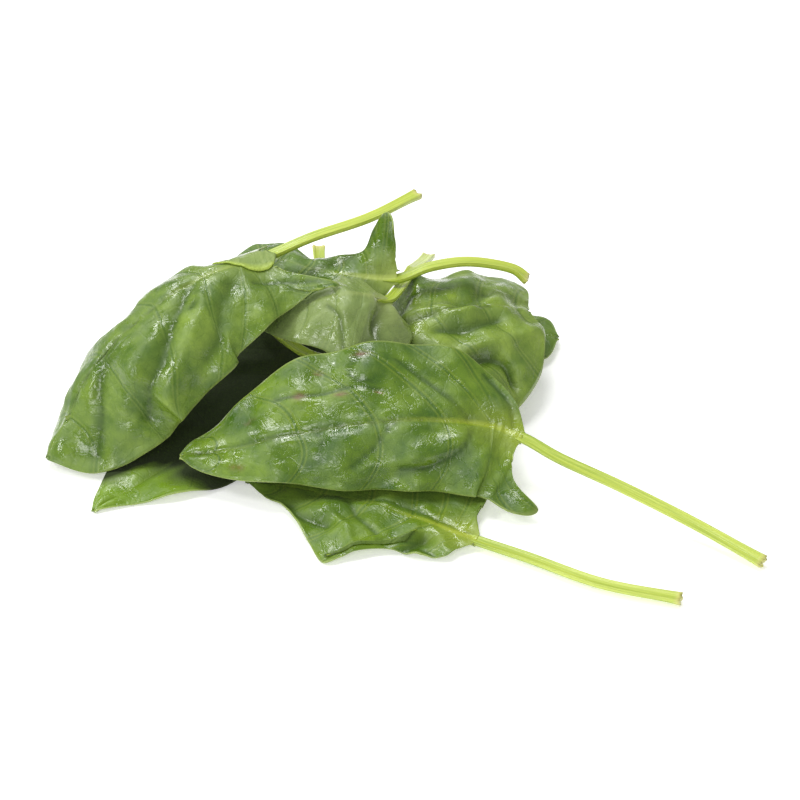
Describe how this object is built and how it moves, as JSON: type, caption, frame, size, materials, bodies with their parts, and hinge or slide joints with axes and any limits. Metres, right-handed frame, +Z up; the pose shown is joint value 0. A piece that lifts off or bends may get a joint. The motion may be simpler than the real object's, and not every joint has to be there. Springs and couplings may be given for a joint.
{
  "type": "spinach bunch",
  "caption": "Loose bunch of fresh spinach: whole green leaves with pale stalks, heaped on a flat surface, for kitchen, market and food scenes.",
  "frame": {"origin": "middle of the bunch's outline, on the surface that it lies on", "axes": "+X towards the cut ends of the two long stalks, -Y towards the side that shows the front leaf, +Z up"},
  "size_m": [0.2294, 0.1664, 0.0548],
  "materials": {
    "blade": "glossy, wet green leaf with paler veins",
    "stalk": "smooth, ridged lengthwise, pale yellow-green"
  },
  "bodies": {
    "root": {"back_blade": "blade", "back_stalk": "stalk", "centre_blade": "blade", "centre_stalk": "stalk", "front_blade": "blade", "front_stalk": "stalk", "hidden_blade": "blade", "hidden_stalk": "stalk", "left_blade": "blade", "left_stalk": "stalk", "low_blade": "blade", "low_stalk": "stalk", "right_blade": "blade", "right_stalk": "stalk", "under_blade": "blade", "under_stalk": "stalk"}
  },
  "joints": []
}
